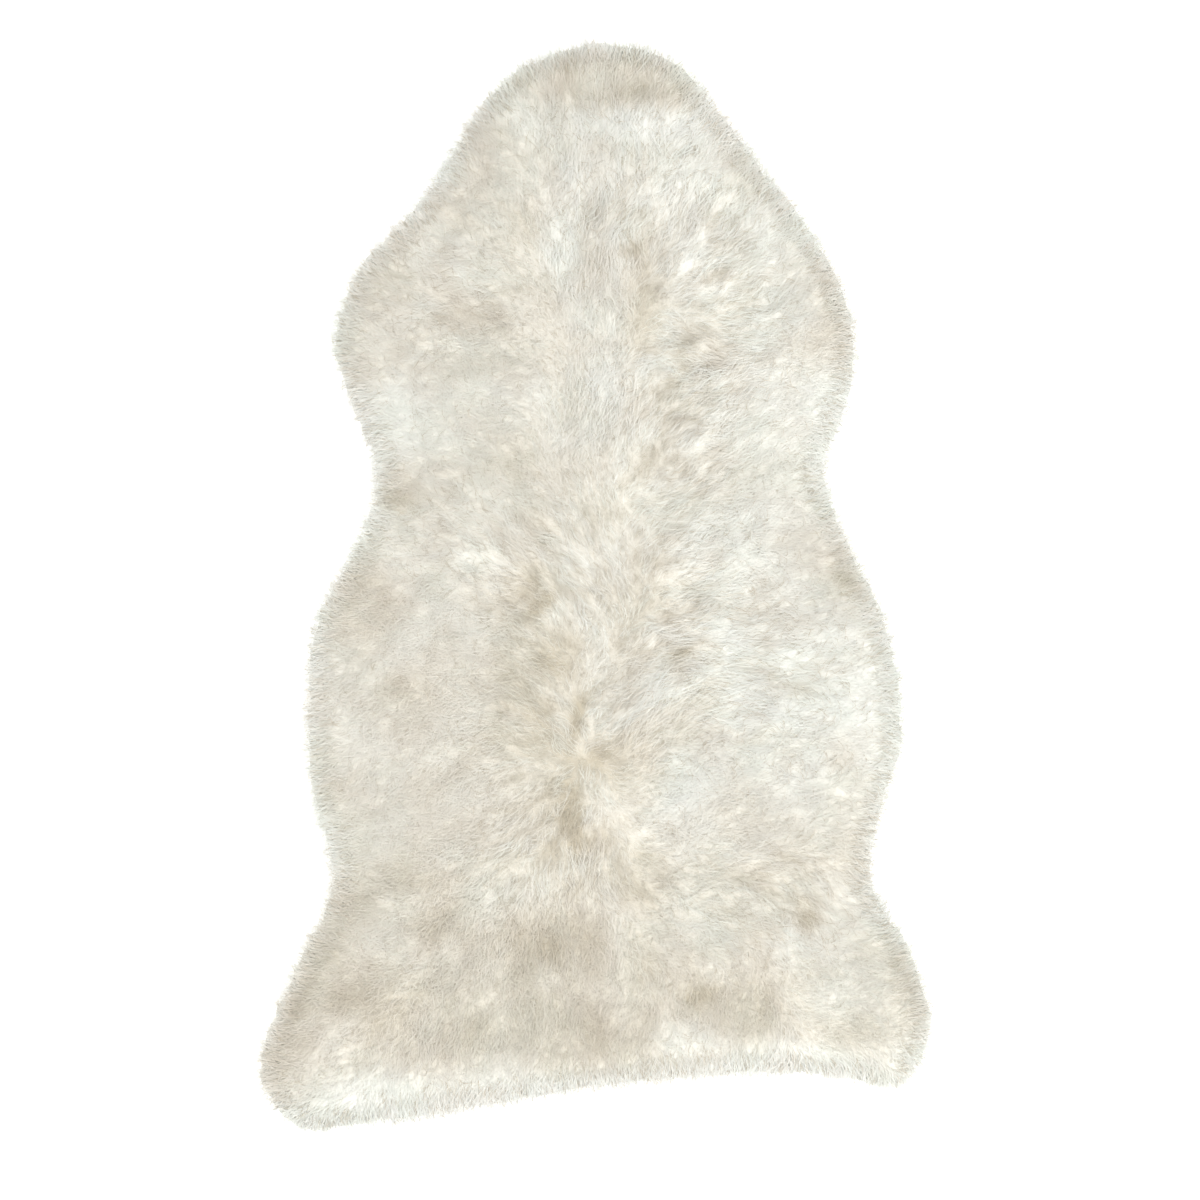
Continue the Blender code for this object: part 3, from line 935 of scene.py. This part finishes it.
def strand_tree(material):
    """Geometry nodes that turn points with their strand's shape as attributes into wool."""
    tree = bpy.data.node_groups.new("wool_strands", "GeometryNodeTree")
    face = tree.interface
    face.new_socket("Geometry", in_out="INPUT", socket_type="NodeSocketGeometry")
    sizes = {}
    for name, kind, value in STRAND_SIZES:
        socket = face.new_socket(name, in_out="INPUT", socket_type=kind)
        socket.default_value = value
        sizes[name] = socket.identifier
    face.new_socket("Geometry", in_out="OUTPUT", socket_type="NodeSocketGeometry")
    n = Nodes(tree)

    def attribute(name, kind="FLOAT"):
        return n.node("GeometryNodeInputNamedAttribute", {"data_type": kind}, {"Name": name})

    def stored(shape, name, value, kind="FLOAT", domain="POINT"):
        return n.node("GeometryNodeStoreNamedAttribute", {"data_type": kind, "domain": domain},
                      {"Geometry": shape, "Name": name, "Value": value})

    # a short line at each root, with a point for each step
    given = n.node("NodeGroupInput")
    steps = given.out("Steps")
    line = n.node("GeometryNodeCurvePrimitiveLine", None, {"Start": (0, 0, 0), "End": (0, 0, MM)})
    fine = n.node("GeometryNodeResampleCurve", {"mode": "COUNT"}, {"Curve": line, "Count": steps + 1})
    placed = n.node("GeometryNodeInstanceOnPoints", None, {"Points": given, "Instance": fine})
    lines = n.node("GeometryNodeRealizeInstances", None, {0: placed})

    # each point goes to its place on the strand and takes its shade, with a small wave
    factor = n.node("GeometryNodeSplineParameter", output="Factor")
    offset, shade = (0, 0, 0), 0.0
    for k in range(SEGMENTS + 1):
        here = n.node("FunctionNodeCompare", {"operation": "EQUAL"},
                      {0: factor * steps, 1: float(k), 12: 0.1})
        offset = n.vectors("ADD", offset, n.scaled(attribute(f"at_{k}", "FLOAT_VECTOR"), here))
        shade = shade + attribute(f"shade_{k}") * here
    wobble = n.node("FunctionNodeRandomValue", {"data_type": "FLOAT_VECTOR"},
                    {0: (-1, -1, -1), 1: (1, 1, 1), "Seed": given.out("Seed")})
    wave = n.scaled(wobble, given.out("Curl") * factor)
    spot = n.vectors("ADD", n.vectors("ADD", attribute("root", "FLOAT_VECTOR"), offset), wave)
    moved = n.node("GeometryNodeSetPosition", None, {"Geometry": lines, "Position": spot})
    curve = stored(stored(moved, "shade", shade), "along", factor)

    # a tapered tube with closed ends, fullest halfway along
    bulge = factor * (1.0 - factor) * 1.6
    taper = n.node("ShaderNodeMix", {"data_type": "FLOAT"},
                   {0: factor, 2: given.out("Root width"), 3: given.out("Tip width")})
    radius = attribute("width") * (taper + bulge)
    profile = n.node("GeometryNodeCurvePrimitiveCircle", None,
                     {"Resolution": given.out("Sides"), "Radius": 1.0})
    tube = n.node("GeometryNodeCurveToMesh", None,
                  {"Curve": curve, "Scale": radius, "Fill Caps": True,
                   "Profile Curve": stored(profile, "around", factor)})

    # its map: the shade across, and up it the row of its cast, from root to tip
    around = attribute("around")
    across = attribute("shade") + around * 0.003
    off = n.maths("ABSOLUTE", around - 0.33)
    up = attribute("along") * 0.94 + (off * 0.02 + 0.02)
    up = (attribute("cast") + up) / float(len(CASTS))
    place = n.node("ShaderNodeCombineXYZ", None, {0: across, 1: up})
    mapped = stored(tube, "OFBake", place, "FLOAT2", "CORNER")
    smooth = n.node("GeometryNodeSetShadeSmooth", None, {"Geometry": mapped})

    # it is lit much as the wool's surface is there, and its lower sides as if from below
    own = n.node("GeometryNodeInputNormal")
    own_up = n.node("ShaderNodeSeparateXYZ", None, {0: own}).out("Z")
    lean = n.node("ShaderNodeMapRange", None, {"Value": own_up, "From Min": -0.85,
                                               "From Max": -0.25, "To Min": -1.0, "To Max": 1.0})
    level = n.scaled(attribute("facing", "FLOAT_VECTOR"), lean)
    soft = n.vectors("ADD", n.scaled(own, given.out("Relief")), level)
    lit = n.node("GeometryNodeSetMeshNormal", {"mode": "FREE", "domain": "POINT"},
                 {0: smooth, "Custom Normal": n.vectors("NORMALIZE", soft)})
    whole = n.node("GeometryNodeRealizeInstances", None, {0: lit})
    wool = n.node("GeometryNodeSetMaterial", None, {"Geometry": whole, "Material": material})
    n.node("NodeGroupOutput", None, {0: wool})
    return tree, sizes


def facing(spots):
    """The direction that the wool's surface faces, turned up towards the sky along the rim."""
    step = np.array([6 * MM, 0.0])
    level = 0.1 + 0.45 * smoothstep((rim_distance_at(spots) - 8 * MM) / (45 * MM))
    slope = [(surface_at(spots + s) - surface_at(spots - s)) / (12 * MM) * level
             for s in (step, step[::-1])]
    return unit(np.stack([-slope[0], -slope[1], np.ones(len(spots))], -1))


def points_mesh(name, points, width, shade, cast):
    """Roots as loose points that carry their strand's shape."""
    data = bpy.data.meshes.new(name)
    data.vertices.add(len(points))
    data.vertices.foreach_set("co", points[:, 0].astype(np.float32).ravel())
    columns = {"root": points[:, 0], "width": width, "cast": cast,
               "facing": facing(points[:, 1, :2])}
    for k in range(SEGMENTS + 1):
        columns.update({f"at_{k}": points[:, k] - points[:, 0], f"shade_{k}": shade[:, k]})
    for key, values in columns.items():
        vector = values.ndim == 2
        made = data.attributes.new(key, "FLOAT_VECTOR" if vector else "FLOAT", "POINT")
        made.data.foreach_set("vector" if vector else "value", values.astype(np.float32).ravel())
    return data


def grown(name, data, tree, sizes):
    """The strands of one region as a plain mesh, without the attributes that shaped them."""
    seedling = bpy.data.objects.new(name + "_roots", data)
    bpy.context.scene.collection.objects.link(seedling)
    modifier = seedling.modifiers.new("strands", "NODES")
    modifier.node_group = tree
    modifier[sizes["Steps"]] = SEGMENTS
    graph = bpy.context.evaluated_depsgraph_get()
    mesh = bpy.data.meshes.new_from_object(seedling.evaluated_get(graph))
    mesh.name = name
    for extra in [a.name for a in mesh.attributes if a.name.split("_")[0] in HELPERS]:
        mesh.attributes.remove(mesh.attributes[extra])
    seedling.modifiers.remove(modifier)
    bpy.data.objects.remove(seedling, do_unlink=True)
    piece = bpy.data.objects.new(name, mesh)
    bpy.context.scene.collection.objects.link(piece)
    return piece


def parting_x(y):
    rows = sorted((row[2] * MM, row[1] * MM) for row in PARTING)
    return np.interp(y, [r[0] for r in rows], [r[1] for r in rows])


def make_strands():
    points, width, shade, cast = wool_paths()
    tree, sizes = strand_tree(strand_material())
    x, y = points[:, 0, 0], points[:, 0, 1]
    pieces = []
    for name, low, high, side in REGIONS:
        mine = (y >= low * MM) & (y < high * MM)
        if side:
            mine &= ((x - parting_x(y)) * side >= 0) & (x != parting_x(y))
        data = points_mesh(name, points[mine], width[mine], shade[mine], cast[mine])
        pieces.append(grown(name, data, tree, sizes))
    return pieces


# ---------------------------------------------------------------- stage, light and camera

FLOOR_DROP = 0.2 * MM  # the floor lies just under the rug, so that no faces share a plane
FIELD_OF_VIEW = 1.056  # metres of floor across the picture
# name, place, size, power, colour
LIGHTS = (
    ("key", (1.7, -1.7, 2.0), 2.6, 41, (1.0, 1.0, 0.98)),
    ("fill", (-1.4, 0.8, 2.2), 2.0, 12, (1.0, 1.0, 1.0)),
)


def make_floor():
    mesh = bmesh.new()
    bmesh.ops.create_grid(mesh, x_segments=1, y_segments=1, size=3.0)
    for vertex in mesh.verts:
        vertex.co.z = -FLOOR_DROP
    s = Shader("pale_floor")
    white = s.surface(Base_Color=(0.92, 0.92, 0.92, 1), Roughness=0.9,
                      Emission_Color=(1, 1, 1, 1), Emission_Strength=0.4)
    floor = finished("floor", mesh, white)


def make_light():
    bpy.context.scene.view_settings.view_transform = "Standard"
    world = bpy.data.worlds.new("studio")
    bpy.context.scene.world = world
    world.use_nodes = True
    sky = world.node_tree.nodes["Background"]
    sky.inputs["Color"].default_value = (1.0, 1.0, 1.0, 1)
    sky.inputs["Strength"].default_value = 1.10
    for name, place, size, power, colour in LIGHTS:
        data = bpy.data.lights.new(name, "AREA")
        data.shape = "DISK"
        data.size, data.energy, data.color = size, power, colour
        lamp = bpy.data.objects.new(name, data)
        lamp.location = place
        lamp.rotation_euler = (-Vector(place)).to_track_quat("-Z", "Y").to_euler()
        bpy.context.scene.collection.objects.link(lamp)


def make_camera():
    """Straight above, with the head end up. One photo pixel of 1200 is 0.88 mm on the floor."""
    data = bpy.data.cameras.new("above")
    data.lens, data.sensor_width = 85, 36
    camera = bpy.data.objects.new("above", data)
    camera.location = (3.5 * MM, -10.6 * MM, FIELD_OF_VIEW * data.lens / data.sensor_width)
    bpy.context.scene.collection.objects.link(camera)
    bpy.context.scene.camera = camera


make_camera()
make_light()
make_floor()
hide = make_hide()
undercoat = make_undercoat()
strands = make_strands()
for piece in (hide, undercoat, *strands):
    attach(piece, "root")
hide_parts("sheepskin")
hide_ring = inset_ring(HIDE_EDGE, HIDE_CORNERS)
